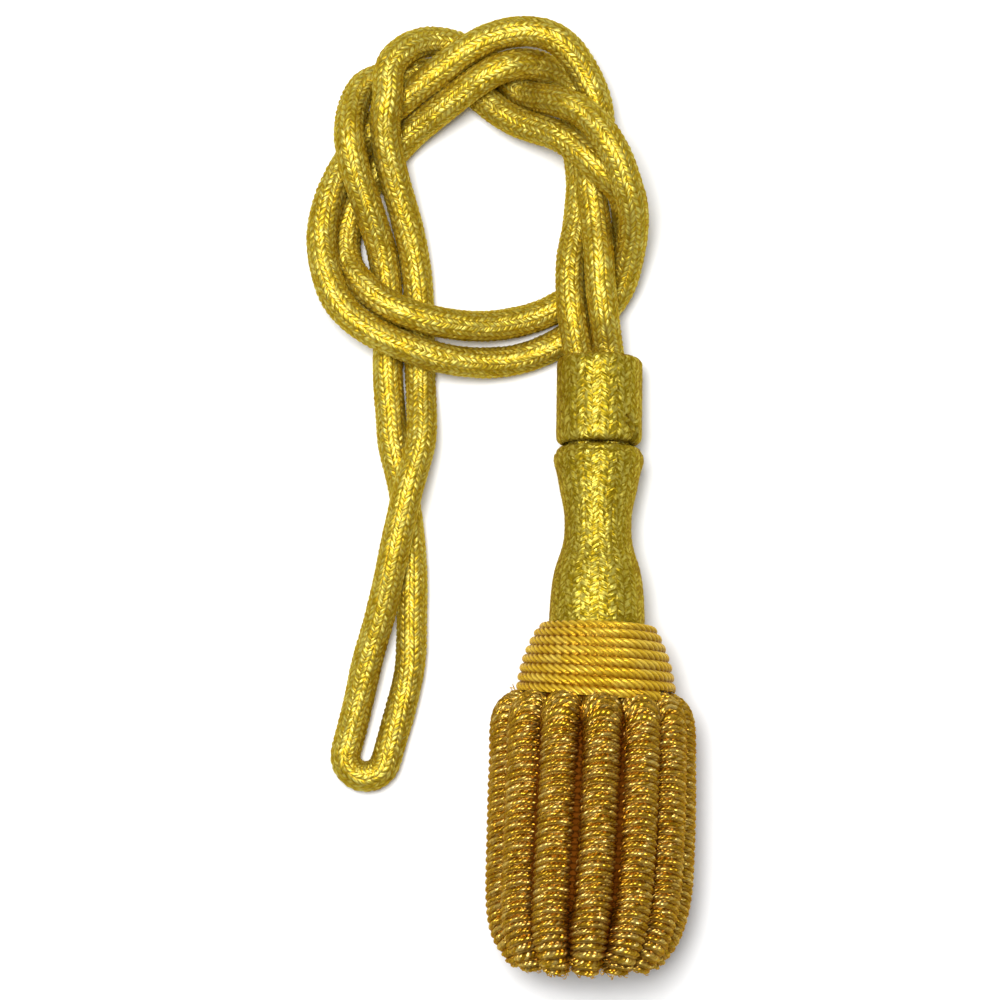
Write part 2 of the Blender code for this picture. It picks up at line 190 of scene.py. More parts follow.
COIL_ARCH = math.tan(math.radians(27))  # how steeply the turns arch up towards the heading
COIL_SLOPE = math.tan(math.radians(-5))  # and sink to the right; below 0 they rise
COIL_SQUARE_ENDS = 0.007  # over this length at its ends the turns come to lie square
COIL_SEAM = math.radians(105)  # where its turns start, on the side that doesn't show
COIL_COUNTED_AT = 0.8  # turns are counted along its outer side, this part of its radius out
# The coil's colour is darkened towards its flanks as painted shade from its neighbours, and lightened
# round its tip as painted light.
COIL_SHADE_ANGLE = math.radians(72)  # beyond this angle a coil is in its neighbours' shade
COIL_SHADE_EDGE = math.radians(36)  # the shade comes in over this angle
COIL_SHADE_TURN = 0.4  # how far its light side turns to the top, as a part of its angle
COIL_SHADE_LIGHT = 0.1  # what is left of the light in the shade
COIL_TIP_LIGHT = 0.8  # and round the tip, which stands free
COIL_TIP_TURNS = 4.5
COIL_TIP_EDGE = 2  # turns
DOME_LENGTH = 0.0029
DOME_BLUNTNESS = 0.6  # 1 is a round dome, and less is blunter
DOME_RISE = 0.3  # how much of its bullion's slope the dome takes on
DOME_WOUND = 0.98  # the part of the dome that the winding covers
SHOULDER_FULLER = 0.0005  # the coils crowd up under the rope, past their solids
CREASE_ANGLE = math.radians(34)  # the slide's curved folds turn round this place
CREASE_STATION = 0.0167
CREASE_REACHES = (0.0045, 0.0031)
CREASE_WIDTH = 0.0004
CREASE_DEPTH = 0.0006
CREASE_START = 0.001  # they deepen over this width from their left ends
WIRE_RADIUS = 0.00011
WIRE_TAPER = 0.7  # a wire's radius at its end, as a part of that at its start
WIRE_ROOT = 0.0003  # how far inside the coil it starts
WIRE_LENGTHS = (0.001, 0.0022)
WIRE_CURLS = (0.4, 1.0)  # parts of the place's curl
WIRE_SPLAY = 0.5  # how far single wires lean off the way out
WIRE_SEED = 41
# How widely wires start round their place, how far they curl in radians, and their number.
CREST_WIRES = (np.array([0.0018, 0.0005, 0.0004]), 1.2, 6)
TIP_WIRES = (np.array([0.0021, 0.0006, 0.0020]), 5.0, 18)
CREST_WIRES_LEAN = (0, 1.2, 0)
CREST_OUT = 0.002  # how far the wires' crest is drawn to the bullion's outer side
FLOOR_CLEAR = 0.00002  # no point lies lower


# ---------------------------- curves
def natural_curve(knots, values):
    """The smooth curve of least bending through values at knots, as a function."""
    knots, values = np.asarray(knots, float), np.asarray(values, float)
    count, steps = len(knots), np.diff(knots)
    rises = np.diff(values) / steps
    matrix, right = np.eye(count), np.zeros(count)
    for i in range(1, count - 1):
        matrix[i, i - 1 : i + 2] = steps[i - 1], 2 * (steps[i - 1] + steps[i]), steps[i]
        right[i] = 6 * (rises[i] - rises[i - 1])
    bends = np.linalg.solve(matrix, right)

    def curve(at):
        at = np.asarray(at, float)
        i = np.clip(np.searchsorted(knots, at, side="right") - 1, 0, count - 2)
        before, after = (knots[i + 1] - at) / steps[i], (at - knots[i]) / steps[i]
        sway = (before**3 - before) * bends[i] + (after**3 - after) * bends[i + 1]
        return before * values[i] + after * values[i + 1] + sway * steps[i] ** 2 / 6

    return curve


def monotone_curve(knots, values):
    """A smooth curve through values at knots that never swings past them, as a function."""
    knots, values = np.asarray(knots, float), np.asarray(values, float)
    steps = np.diff(knots)
    rises = np.diff(values) / steps
    slopes = np.zeros(len(knots))
    for i in range(1, len(knots) - 1):
        if rises[i - 1] * rises[i] > 0:
            near, far = 2 * steps[i] + steps[i - 1], steps[i] + 2 * steps[i - 1]
            slopes[i] = (near + far) / (near / rises[i - 1] + far / rises[i])

    def curve(at):
        at = np.asarray(at, float)
        i = np.clip(np.searchsorted(knots, at, side="right") - 1, 0, len(knots) - 2)
        step = steps[i]
        part = (at - knots[i]) / step
        rest = 1 - part
        return (
            (1 + 2 * part) * rest**2 * values[i]
            + part * rest**2 * step * slopes[i]
            + part**2 * (3 - 2 * part) * values[i + 1]
            - part**2 * rest * step * slopes[i + 1]
        )

    return curve


def unit(vectors):
    return vectors / np.linalg.norm(vectors, axis=-1, keepdims=True)


def smooth(part):
    part = np.clip(part, 0, 1)
    return part * part * (3 - 2 * part)


def run_along(points):
    """How far along a line each of its points lies."""
    steps = np.linalg.norm(np.diff(points, axis=0), axis=1)
    return np.concatenate([[0], np.cumsum(steps)])


def picked(at, run, points):
    """The points at these distances along a line."""
    return np.stack([np.interp(at, run, points[:, i]) for i in range(3)], axis=-1)


def even(points, step):
    """The same line with points an even step apart, and their places along it."""
    run = run_along(points)
    at = np.linspace(0, run[-1], int(round(run[-1] / step)) + 1)
    return picked(at, run, points), at


def carried_frames(points, first_up):
    """Directions along, across and out of a line, carried along it without twist."""
    way = unit(np.gradient(points, axis=0))
    up = np.zeros_like(points)
    held = np.asarray(first_up, float)
    for i, along in enumerate(way):
        held = held - along * (held @ along)
        held = held / math.sqrt(held @ held)
        up[i] = held
    return way, np.cross(way, up), up


def wobble(at, waves, seed):
    """A slow uneven wave between about -1 and 1; waves are wavelengths."""
    local = np.random.default_rng(seed)
    return sum(np.sin(FULL_TURN * (at / wave + local.random())) for wave in waves) / len(waves)


def strays(shape, most, seed):
    """Random numbers spread about 0, with none beyond most."""
    return np.random.default_rng(seed).standard_normal(shape).clip(-most, most)


# ---------------------------- meshes
def place_object(name, data, location=(0, 0, 0)):
    obj = bpy.data.objects.new(name, data)
    obj.location = location
    bpy.context.collection.objects.link(obj)
    return obj


def mesh_object(name, points, quads, threads, lit, fans):
    """A smooth mesh of four-sided faces closed with fans of triangles, with what its finish reads:
    thread coordinates for each face's corners, and how far each point is out of the grooves and the
    shade, 0 to 1, as "height", from which the finish paints shade."""
    fans = np.asarray(fans).reshape(-1, 3)
    loops = np.concatenate([quads.reshape(-1), fans.reshape(-1)])
    sizes = np.concatenate([np.full(len(quads), 4), np.full(len(fans), 3)])
    corners = np.concatenate([threads.reshape(-1, 2), np.zeros((fans.size, 2))])
    points = points.copy()
    points[:, 2] = np.maximum(points[:, 2], FLOOR_CLEAR)
    mesh = bpy.data.meshes.new(name)
    mesh.vertices.add(len(points))
    mesh.vertices.foreach_set("co", np.ascontiguousarray(points, np.float32).reshape(-1))
    mesh.loops.add(len(loops))
    mesh.loops.foreach_set("vertex_index", loops.astype(np.int32))
    mesh.polygons.add(len(sizes))
    starts = np.concatenate([[0], np.cumsum(sizes)[:-1]])
    mesh.polygons.foreach_set("loop_start", starts.astype(np.int32))
    mesh.update(calc_edges=True)
    layer = mesh.uv_layers.new(name="thread")
    layer.data.foreach_set("uv", corners.astype(np.float32).reshape(-1))
    # The "height" attribute carries the painted shade: how far each point is out of the grooves and
    # the shade.
    height = mesh.attributes.new("height", "FLOAT", "POINT")
    height.data.foreach_set("value", lit.astype(np.float32).reshape(-1))
    mesh.validate()
    mesh.shade_smooth()
    return place_object(name, mesh)


def corner_values(along, across):
    """The two coordinates of each grid cell's four corners, in the order of its face."""
    grid = np.stack([along, across], axis=-1)
    return np.stack([grid[:-1, :-1], grid[:-1, 1:], grid[1:, 1:], grid[1:, :-1]], axis=2)


def tube(rings, columns, rows_a_pitch, lit):
    """A closed tube through rings of points, as mesh_object needs it. Its thread coordinates count
    stitch columns round it and pitches along it."""
    count, sides = rings.shape[:2]
    ring, side = np.meshgrid(np.arange(count - 1), np.arange(sides), indexing="ij")
    after = (side + 1) % sides
    near, far = ring * sides, (ring + 1) * sides
    quads = np.stack([near + side, near + after, far + after, far + side], axis=-1).reshape(-1, 4)
    row, column = np.meshgrid(
        np.arange(count) / rows_a_pitch, np.arange(sides + 1) * columns / sides, indexing="ij"
    )
    points = np.concatenate([rings.reshape(-1, 3), rings[:1].mean(1), rings[-1:].mean(1)])
    start, end, last = count * sides, count * sides + 1, (count - 1) * sides
    fans = [(start, (i + 1) % sides, i) for i in range(sides)]
    fans += [(end, last + i, last + (i + 1) % sides) for i in range(sides)]
    # The hubs at the two ends lie in full painted shade.
    lit = np.concatenate([lit.reshape(-1), [0, 0]])
    return points, quads, corner_values(column, row), lit, np.array(fans)


def stitch_relief(column, row):
    """Height of a two over two braid, from 0 in the grooves to 1 on a stitch's crest."""
    side, end = 0.12, 0.3  # heights along a stitch's sides and at its tucked ends
    tuck_power, sag = 2.5, 0.1  # higher makes the ends shorter; sag lowers the crest towards them
    part = column % 1 * 2 - 1
    odd = np.floor(column).astype(int) % 2
    across = (row + 0.5 * odd) % 1 * 2 - 1
    crown = np.sqrt(np.maximum(1 - across**2, 0))
    tuck = np.abs(part) ** tuck_power
    return (1 - tuck) * (side + (1 - side) * crown) + tuck * end - sag * part**2


def zigzag(column, climb):
    """How far a row of stitches lies off its middle, in pitches: up one column, down the next."""
    return climb * (0.5 - np.abs(column % 2 - 1))


def closed_ends(points, lit, loops):
    """The same points with a hub in the middle of each open end, and the fans that close it."""
    fans = []
    for loop, way in loops:
        hub = len(points)
        points = np.concatenate([points, points[loop].mean(0)[None]])
        # A hub lies in full painted shade.
        lit = np.append(lit, 0)
        fans += [(hub, *pair[::way]) for pair in zip(loop, loop[1:] + loop[:1])]
    return points, lit, fans


def winding(name, place, turns, angles, rows, plies, painted_light):
    """A rope wound side by side as one closed skin. place(turn, angle) gives points on its core and
    the way out. plies(across, run) gives its height there, the place across its topmost ply and
    along it. The last argument, a function of turn and angle, tells how far a place is out of the
    shade of its neighbours; that shade is painted into the colour.
    Below, k counts points along the winding and w those across a turn."""
    side_shade, side_power = 0.7, 3  # painted shade: a ply's sides are darker than its height alone makes them
    sides = len(angles)
    count = int(turns * sides) + 1
    k = np.arange(count)[:, None]
    w = np.arange(rows + 1)[None, :]
    angle = np.broadcast_to(angles[k % sides], (count, rows + 1))
    turn = k // sides + w / rows + angle / FULL_TURN
    points, out = place(turn, angle)
    run = np.broadcast_to(run_along(points[:, 0])[:, None], turn.shape)
    across = np.broadcast_to(w / rows, turn.shape)
    height, beside, _ = plies(across, run)
    points = points + out * height[..., None]
    # Painted shade: lit is lowest in the grooves between plies and turns, on the plies' sides and in
    # the shade of neighbours.
    lit = (height - height.min()) / (height.max() - height.min())
    lit = lit * (1 - side_shade * np.abs(beside) ** side_power) * painted_light(turn, angle)
    # A face reads its finish just inside its own edges, so that it never reads two plies.
    edge = 0.02 / rows
    upper, lower = (plies(part, run)[:0:-1] for part in (across + edge, across - edge))
    k, w = np.meshgrid(np.arange(count - 1), np.arange(rows), indexing="ij")
    upper, lower = (np.stack(values, axis=-1) for values in (upper, lower))
    threads = np.stack([upper[k, w], lower[k, w + 1], lower[k + 1, w + 1], upper[k + 1, w]], axis=2)
    inside = (w < rows - 1) | (k + 1 + sides < count)
    k, w = k[inside], w[inside]

    def index(k, w):
        return np.where(w < rows, k * rows + w, (k + sides) * rows)

    quads = np.stack([index(k, w), index(k, w + 1), index(k + 1, w + 1), index(k + 1, w)], axis=-1)
    points, lit = points[:, :rows].reshape(-1, 3), lit[:, :rows].reshape(-1)
    first = [i * rows for i in range(sides + 1)] + list(range(rows - 1, 0, -1))
    last = [i * rows + rows - 1 for i in range(count - 1 - sides, count)]
    last += [(count - 1) * rows + j for j in range(rows - 2, -1, -1)]
    points, lit, fans = closed_ends(points, lit, ((first, -1), (last, 1)))
    return mesh_object(name, points, quads, threads[inside], lit, fans)


def twisted_plies(count, ply, spread, pitch, lead, floor):
    """A rope's topmost ply: its height over the centre line, the place across it and along it, in
    twists. floor is the lowest height, between two turns."""

    def plies(across, run):
        offset = (across - 0.5) * pitch
        height, beside = np.full(offset.shape, floor), np.zeros(offset.shape)
        for number in range(count):
            phase = FULL_TURN * (run / lead + number / count)
            side = (offset - spread * np.cos(phase)) / ply
            top = spread * np.sin(phase) + ply * np.sqrt(np.maximum(1 - side**2, 0))
            seen = (np.abs(side) < 1) & (top > height)
            height, beside = np.where(seen, top, height), np.where(seen, side, beside)
        return height, beside, run / abs(lead)

    return plies


def paired_cords(pitch):
    """A thick and a thin lumpy cord side by side in one turn; the place along them is in lumps."""
    share = COIL_THICK_SHARE

    def plies(across, run):
        thin = across > share
        beside = np.where(thin, (across - share) / (1 - share), across / share) * 2 - 1
        radius = np.where(thin, 1 - share, share) * pitch / 2
        lumps = run / COIL_LUMP + THIN_LUMPS_START * thin
        crown = COIL_CROWN * pitch * (1 - (2 * across - 1) ** 2)
        height = radius * np.sqrt(np.maximum(1 - beside**2, 0)) + crown
        # A lump runs from one low place to the next.
        wave = np.sin(FULL_TURN * (lumps + COIL_SLANT * beside - 0.25))
        return height + COIL_LUMP_RISE * wave, beside, lumps

    return plies


def dress(piece, node_name, finish):
    """The piece stands for a node, moves with it and wears its finish."""
    piece.data.materials.append(finish)
    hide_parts(node_name)
    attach(piece, "root")


# ---------------------------- finishes
GRAIN_SCALE = 3400.0  # waves a metre
PATCH_SCALE = 240.0
ROUGHNESS_SPREAD = 0.2  # from grain to grain
STRETCH_STEP = 7.0  # keeps the facets of neighbouring stretches unlike each other


def srgb(red, green, blue):
    """A colour as bytes on screen, turned into linear light."""
    shares = [value / 255 for value in (red, green, blue)]
    return (*(s / 12.92 if s <= 0.04045 else ((s + 0.055) / 1.055) ** 2.4 for s in shares), 1.0)


def tones(dark, middle, light, places=(0.2, 0.55, 0.9)):
    """The stops of a colour ramp, from three colours as bytes."""
    return tuple((place, srgb(*colour)) for place, colour in zip(places, (dark, middle, light)))


class Finish:
    """A material under construction: each method adds nodes and gives their output socket."""

    def __init__(self, name):
        self.material = bpy.data.materials.new(name)
        self.material.use_nodes = True
        self.tree = self.material.node_tree
        self.tree.nodes.clear()

    def add(self, kind, inputs=(), **settings):
        made = self.tree.nodes.new(kind)
        for key, value in settings.items():
            setattr(made, key, value)
        for key, value in dict(inputs).items():
            if isinstance(value, bpy.types.NodeSocket):
                self.tree.links.new(value, made.inputs[key])
            else:
                made.inputs[key].default_value = value
        return made

    def math(self, operation, *values):
        return self.add("ShaderNodeMath", enumerate(values), operation=operation).outputs[0]

    def blend_in(self, a, factor, b):
        """a * factor + b"""
        return self.math("MULTIPLY_ADD", a, factor, b)

    def noise(self, scale, detail):
        place = self.add("ShaderNodeTexCoord").outputs["Object"]
        return self.add(
            "ShaderNodeTexNoise", {"Vector": place, "Scale": scale, "Detail": detail}
        ).outputs[0]

    def chance(self, *cell):
        """Three numbers from 0 to 1, the same all over one cell."""
        cell = self.add("ShaderNodeCombineXYZ", enumerate(cell)).outputs[0]
        noise = self.add("ShaderNodeTexWhiteNoise", {"Vector": cell}, noise_dimensions="3D")
        return self.add("ShaderNodeSeparateXYZ", {0: noise.outputs["Color"]}).outputs

    def mix(self, factor, a, b):
        return self.add("ShaderNodeMix", {0: factor, 6: a, 7: b}, data_type="RGBA").outputs[2]

    def ramp(self, factor, stops):
        made = self.add("ShaderNodeValToRGB", {"Fac": factor})
        elements = made.color_ramp.elements
        while len(elements) < len(stops):
            elements.new(0.5)
        for element, (place, colour) in zip(elements, stops):
            element.position, element.color = place, colour
        return made.outputs[0]

    def threads(self):
        """The mesh's two thread coordinates."""
        uv = self.add("ShaderNodeUVMap", (), uv_map="thread").outputs[0]
        return self.add("ShaderNodeSeparateXYZ", {0: uv}).outputs[:2]

    # How far a point is out of the grooves and the shade; the finish paints shade where this is low.
    def height(self):
        return self.add("ShaderNodeAttribute", (), attribute_name="height").outputs["Fac"]

    def turned_normal(self, along, across):
        """The surface's direction turned along and across the threads; 0.5 leaves it as it is."""
        turn = self.add("ShaderNodeCombineXYZ", {0: along, 1: across, 2: 1.0}).outputs[0]
        return self.add("ShaderNodeNormalMap", {"Color": turn}, uv_map="thread").outputs[0]

    def shade(self, **inputs):
        inputs = {name.replace("_", " ").title(): value for name, value in inputs.items()}
        shader = self.add("ShaderNodeBsdfPrincipled", inputs)
        self.add("ShaderNodeOutputMaterial", {"Surface": shader.outputs[0]})
        return self.material


def thread_finish(made, cell, along, count, look):
    """Foil threads side by side, each in short facets turned their own way, with painted shade: darker
    in the grooves and where the mesh is marked as shaded.

    count runs on by 1 from thread to thread and along from -1 to 1 over the stretch that shows;
    cell tells stretches apart."""
    grain = made.noise(GRAIN_SCALE, detail=1.0)
    patch = made.noise(PATCH_SCALE, detail=2.0)
    count = made.blend_in(grain, look["stray"], count)
    thread = made.math("FLOOR", count)
    side = made.blend_in(made.math("FRACT", count), 2.0, -1.0)
    start = made.chance(*cell, thread)[0]
    facet = made.math("FLOOR", made.blend_in(along, look["facets"] / 2, start))
    chance = made.chance(made.blend_in(cell[0], STRETCH_STEP, facet), cell[1], thread)
    turns = []
    for number, arch in enumerate(look["arch"]):
        turn = made.blend_in(made.math("SUBTRACT", chance[number], 0.5), look["turned"], 0.5)
        turns.append(made.blend_in(side, arch, turn) if arch else turn)
    if look["bulge"]:
        turns[0] = made.blend_in(along, look["bulge"], turns[0])
    tone = made.blend_in(chance[2], look["uneven"], made.math("MULTIPLY", patch, look["patchy"]))
    body = made.ramp(tone, look["stops"])
    # Painted shade: the colour gives way to the painted shade colour where the mesh's "height" is low.
    crest = made.math("POWER", made.height(), look["groove"])
    return made.shade(
        base_color=made.mix(crest, look["painted_shade"], body),
        roughness=made.blend_in(grain, ROUGHNESS_SPREAD, look["rough"] - ROUGHNESS_SPREAD / 2),
        normal=made.turned_normal(*turns),
        **look["shader"],
    )


def braid_finish(name, look):
    """Threads worked in a two over two braid; its coordinates are stitch columns and pitches."""
    made = Finish(name)
    column, row = made.threads()
    whole = made.math("FLOOR", column)
    shifted = made.blend_in(made.math("MODULO", whole, 2.0), 0.5, row)
    number = made.math("FLOOR", shifted)
    count = made.math("MULTIPLY", made.math("FRACT", shifted), look["threads"])
    along = made.blend_in(made.math("FRACT", column), 2.0, -1.0)
    return thread_finish(made, (whole, number), along, count, look)


def twist_finish(name, look):
    """Twisted threads; its coordinates are twists along the rope and places across it, -1 to 1."""
    made = Finish(name)
    along, across = made.threads()
    stretch = made.math("FLOOR", made.math("MULTIPLY", along, look["stretches"]))
    count = made.blend_in(along, look["lay"], made.math("MULTIPLY", across, look["slant"]))
    return thread_finish(made, (stretch, 0.5), across, count, look)


# A look gives the threads side by side in a stitch, the facets along each and how far threads stray.
# Each facet is turned its own way, arch rounds a thread and bulge the whole stitch. The tone is uneven
# from facet to facet and patchy over wider places. Where the mesh's "height" is low it gives way to
# the
# painted shade colour: painted shade in the grooves and in the shade of neighbours, sooner with a
# higher groove. A twisted look gives the stretches in one twist, and how many threads
# go by in one twist (lay) and from the middle of a ply to its side (slant).
GILT_SHADER = {"metallic": 0.9, "specular_tint": (0.55, 0.36, 0.09, 1.0)}
CORD_LOOK = {
    "threads": 2,
    "facets": 2,
    "stray": 0.3,
    "turned": 0.2,
    "arch": (0.0, 0.11),
    "bulge": 0.13,
    "uneven": 0.7,
    "patchy": 0.5,
    "stops": tones((181, 154, 27), (208, 189, 60), (230, 221, 110)),
    "painted_shade": srgb(146, 102, 10),
    "groove": 0.6,
    "rough": 0.52,
    "shader": {**GILT_SHADER, "metallic": 0.84},
}
SLEEVE_LOOK = {
    **CORD_LOOK,
    "threads": 3,
    "facets": 3,
    "stray": 0.7,
    "turned": 0.27,
    "arch": (0.0, 0.14),
    "bulge": 0.0,
    "stops": tones((142, 119, 13), (170, 150, 35), (210, 196, 88)),
    "painted_shade": srgb(126, 92, 8),
    "groove": 0.35,
}
ROPE_LOOK = {
    **CORD_LOOK,
    "facets": 0,
    "stray": 0.1,
    "turned": 0.10,
    "arch": (0.0, 0.22),
    "bulge": 0.0,
    "uneven": 0.3,
    "patchy": 0.8,
    "stretches": 1.0,
    "lay": 0.0,
    "slant": 1.0,
    "stops": tones((200, 159, 28), (219, 182, 50), (240, 212, 92)),
    "painted_shade": srgb(116, 72, 0),
    "groove": 0.9,
    "rough": 0.36,
    "shader": {"metallic": 0.35, "specular_tint": srgb(255, 206, 90)},
}
COIL_LOOK = {
    **CORD_LOOK,
    "facets": 0,
    "turned": 0.42,
    "arch": (0.26, 0.04),
    "bulge": 0.0,
    "stray": 0.2,
    "stretches": 0.0,
    "lay": 1.0,
    "slant": COIL_SLANT,
    "uneven": 0.5,
    "patchy": 0.2,
    "stops": tones((175, 137, 30), (204, 165, 55), (240, 214, 122), places=(0.1, 0.35, 0.65)),
    "painted_shade": srgb(124, 66, 2),
    "groove": 0.72,
    "rough": 0.38,
    "shader": GILT_SHADER,
}
WIRE_LOOK = {
    **COIL_LOOK,
    "stops": tones((216, 168, 52), (242, 208, 96), (255, 240, 160)),
    "lay": 0.0,
}
# The heading's near-black browns are painted shade: they stand for the shade in the gaps between the
# bullions.
HEADING_SHADE_LOOK = {
    **ROPE_LOOK,
    "stops": tones((66, 31, 3), (76, 38, 4), (92, 50, 8)),
    "painted_shade": srgb(50, 21, 1),
    "rough": 0.6,
    "shader": {"metallic": 0.0, "specular_tint": srgb(220, 130, 40)},
}


def floor_finish():
    made = Finish("floor")
    duller, paler = (0.90, 0.90, 0.90, 1.0), (0.93, 0.93, 0.93, 1.0)
    colour = made.ramp(made.noise(scale=9.0, detail=3.0), ((0.0, duller), (1.0, paler)))
    return made.shade(base_color=colour, roughness=0.9)


# ---------------------------- camera, light and floor
CAMERA_PLACE = (-0.0186, 0.031, 0.6)  # it looks straight down
CAMERA_ROLL = math.radians(0.9)
CAMERA_LENS = 108.0  # millimetres, as the sensor's width is
SENSOR_WIDTH = 36.0
NEAREST_SEEN = 0.01
LIT_POINT = (-0.02, 0.03, 0.0)
KEY_PLACE = (-0.10, 0.14, 0.70)
KEY_SIZE = 0.26
KEY_POWER = 6.6  # watts
WORLD_STRENGTH = 0.3
FLOOR_HALF = 1.5


def add_camera():
    data = bpy.data.cameras.new("camera")
    data.sensor_width = SENSOR_WIDTH
    data.lens = CAMERA_LENS
    data.clip_start = NEAREST_SEEN
    camera = place_object("camera", data, CAMERA_PLACE)
    camera.rotation_euler = (0, 0, CAMERA_ROLL)
    bpy.context.scene.camera = camera


def add_key_light():
    data = bpy.data.lights.new("key", "AREA")
    data.size = KEY_SIZE
    data.energy = KEY_POWER
    light = place_object("key", data, KEY_PLACE)
    light.rotation_euler = (Vector(LIT_POINT) - light.location).to_track_quat("-Z", "Y").to_euler()


def add_floor():
    mesh = bpy.data.meshes.new("floor")
    ways = ((-1, -1), (1, -1), (1, 1), (-1, 1))
    corners = [(x * FLOOR_HALF, y * FLOOR_HALF, 0) for x, y in ways]
    mesh.from_pydata(corners, [], [(0, 1, 2, 3)])
    mesh.materials.append(floor_finish())
    place_object("floor", mesh)


def add_world():
    world = bpy.data.worlds.new("studio")
    world.use_nodes = True
    background = world.node_tree.nodes["Background"]
    background.inputs["Color"].default_value = (1.0, 1.0, 1.0, 1.0)
    background.inputs["Strength"].default_value = WORLD_STRENGTH
    bpy.context.scene.world = world


# ---------------------------- the cord
def cord_line():
    """The whole cord's centre line, from one strand's end round the bight to the other's."""
    step, smoothings = 0.0003, 12
    rows = np.array(CORD_ROUTE)
    run = run_along(rows[:, :2])
    fine = np.linspace(0, run[-1], num=2400)
    x, y = (natural_curve(run, rows[:, i])(fine) for i in (0, 1))
    way = unit(np.stack([np.gradient(x), np.gradient(y)], axis=1))
    apart, right_z, left_z = (monotone_curve(run, rows[:, i])(fine) for i in (2, 3, 4))
    right = np.stack([x + way[:, 1] * apart / 2, y - way[:, 0] * apart / 2, right_z], axis=1)
    left = np.stack([x - way[:, 1] * apart / 2, y + way[:, 0] * apart / 2, left_z], axis=1)
    centre, half = (right[-1] + left[-1]) / 2, (right[-1] - left[-1]) / 2
    onward = np.array([*way[-1], 0.0])
    onward = unit(onward - half * (onward @ half) / (half @ half)) * np.linalg.norm(half)
    angle = np.linspace(0, math.pi, num=60)[1:-1, None]
    bight = centre + half * np.cos(angle) + onward * np.sin(angle)
    line, _ = even(np.concatenate([right, bight, left[::-1]]), step)
    # A last light smoothing takes the corners out where the curves join.
    for _ in range(smoothings):
        line[1:-1] = (line[:-2] + 2 * line[1:-1] + line[2:]) / 4
    return line


def add_cord():
    rows_a_pitch, sides_a_column = 4, 2
    sides = CORD_COLUMNS * sides_a_column
    line, along = even(cord_line(), CORD_PITCH / rows_a_pitch)
    _, across, up = carried_frames(line, first_up=(0, 0, 1))
    count = len(line)
    column = np.arange(sides) / sides_a_column
    row = np.arange(count)[:, None] / rows_a_pitch + np.zeros(sides)
    place = np.arange(count)[:, None] + zigzag(column, CORD_CLIMB) * rows_a_pitch
    place = np.clip(place, 0, count - 1)
    low = np.floor(place).astype(int).clip(0, count - 2)
    part = (place - low)[..., None]

    def between(values):
        return values[low] * (1 - part) + values[low + 1] * part

    twist = CORD_TWIST * wobble(along, CORD_TWIST_WAVES, seed=3)
    angle = column * FULL_TURN / CORD_COLUMNS + twist[:, None]
    relief = stitch_relief(np.broadcast_to(column, row.shape), row)
    lift = CORD_RELIEF * (relief - RELIEF_MIDDLE)
    lift = lift + CORD_STRAY * strays(relief.shape, most=1.5, seed=7)
    lift = lift + CORD_UNEVEN * wobble(along, CORD_UNEVEN_WAVES, seed=5)[:, None]
    out = between(across) * np.sin(angle)[..., None] + between(up) * np.cos(angle)[..., None]
    rings = between(line) + unit(out) * (CORD_RADIUS + lift)[..., None]
    # The stitches' relief also paints shade in the grooves between them.
    parts = tube(rings, CORD_COLUMNS, rows_a_pitch, relief.clip(0, 1))
    cord = mesh_object("braided_cord", *parts)
    dress(cord, "cord", braid_finish("cord", CORD_LOOK))


# ---------------------------- slide and neck
def head_point(angle, radius, station, shift=0.0):
    """Points round the head's axis, in the shared frame."""
    sine, cosine = math.sin(HEAD_TILT), math.cos(HEAD_TILT)
    across, up = radius * np.sin(angle) + shift, radius * np.cos(angle)
    x = MOUTH[0] + across
    y = MOUTH[1] - station * cosine + up * sine
    z = MOUTH[2] + station * sine + up * cosine
    return np.stack(np.broadcast_arrays(x, y, z), axis=-1)


def bore_reach(angle):
    """How far the slide's oval bore reaches from its middle, in this direction."""
    across, up = np.sin(angle), np.cos(angle)
    straight = BORE_HALF_WIDTH - BORE_HALF_HEIGHT
    to_flat = BORE_HALF_HEIGHT / np.maximum(np.abs(up), 1e-9)
    round_part = np.sqrt(np.maximum(BORE_HALF_HEIGHT**2 - (straight * up) ** 2, 0))
    to_round = straight * np.abs(across) + round_part
    return np.where(to_flat * np.abs(across) <= straight, to_flat, to_round)


def bore_shift(radius):
    """The bore lies a little to one side, and the mouth's rims lead over to it."""
    lead_over = 0.003
    return BORE_SHIFT * np.clip((SLIDE_RADIUS - radius) / lead_over, 0, 1)


def crease(angle, station):
    """The curved folds low on the slide's right side, 1 in their middle."""
    beside = SLIDE_RADIUS * (angle - CREASE_ANGLE)
    away = np.hypot(beside, station - CREASE_STATION)
    folds = sum(np.exp(-(((away - reach) / CREASE_WIDTH) ** 2)) for reach in CREASE_REACHES)
    return folds * smooth(beside / CREASE_START)


